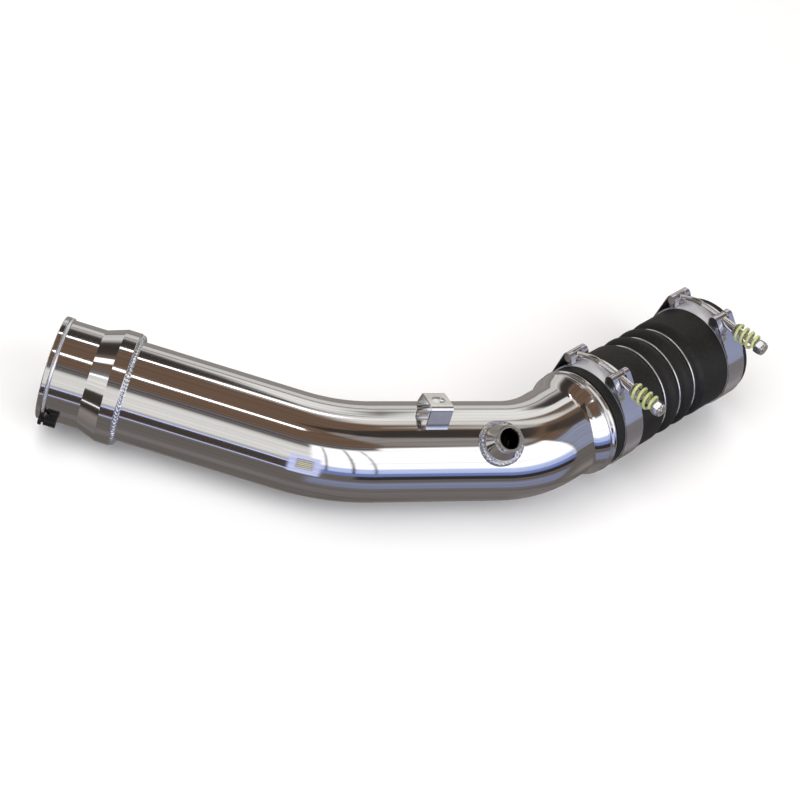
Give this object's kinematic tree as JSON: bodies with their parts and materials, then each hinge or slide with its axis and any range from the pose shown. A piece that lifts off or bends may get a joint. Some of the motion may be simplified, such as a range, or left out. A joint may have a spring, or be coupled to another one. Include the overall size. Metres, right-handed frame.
{
  "type": "intercooler pipe",
  "caption": "Bent polished metal charge-air pipe with a quick-fit socket, sensor boss, bracket and a convoluted rubber coupler held by spring-loaded band clamps.",
  "frame": {"origin": "centre of the socket's mouth plane, on the axis of the first leg", "axes": "+X along the first leg, from the socket's mouth into the pipe; +Z square to the plane of both bends, towards the side with the sensor boss, bracket and clamp bolts; both bends turn towards +Y"},
  "size_m": [0.6159, 0.3569, 0.1199],
  "materials": {
    "polished_tube": "polished to a mirror, with fine lines along the tube",
    "turned_collar": "turned and polished",
    "weld_bead": "bright TIG bead with overlapping ripples",
    "seal_rubber": "satin",
    "ring_steel": "drawn spring wire",
    "peg_plastic": "satin moulded",
    "bung_metal": "turned, fine feed lines",
    "bracket_steel": "zinc plated sheet",
    "hose_silicone": "matte, fine cloth grain",
    "valley_steel": "bright wire",
    "liner_steel": "bright strip",
    "strap_steel": "bright rolled stainless strip",
    "bolt_steel": "bright plated",
    "sleeve_steel": "bright drawn tube",
    "washer_steel": "zinc plated",
    "spring_paint": "yellow-green coated wire",
    "nut_steel": "zinc plated"
  },
  "bodies": {
    "root": {"pipe": "polished_tube", "collar": "turned_collar", "collar_weld": "weld_bead", "collar_seal": "seal_rubber", "retaining_ring": "ring_steel", "latch_peg": "peg_plastic", "sensor_bung": "bung_metal", "bung_weld": "weld_bead", "bracket": "bracket_steel", "coupler_boot": "hose_silicone", "valley_ring_a": "valley_steel", "valley_ring_b": "valley_steel", "valley_ring_c": "valley_steel", "pipe_clamp_liner": "liner_steel", "pipe_clamp_strap": "strap_steel", "pipe_clamp_bolt": "bolt_steel", "pipe_clamp_trunnion": "bolt_steel", "pipe_clamp_sleeve": "sleeve_steel", "pipe_clamp_washer_near": "washer_steel", "pipe_clamp_spring": "spring_paint", "pipe_clamp_washer_far": "washer_steel", "pipe_clamp_nut": "nut_steel", "free_clamp_liner": "liner_steel", "free_clamp_strap": "strap_steel", "free_clamp_bolt": "bolt_steel", "free_clamp_trunnion": "bolt_steel", "free_clamp_sleeve": "sleeve_steel", "free_clamp_washer_near": "washer_steel", "free_clamp_spring": "spring_paint", "free_clamp_washer_far": "washer_steel", "free_clamp_nut": "nut_steel"}
  },
  "joints": []
}
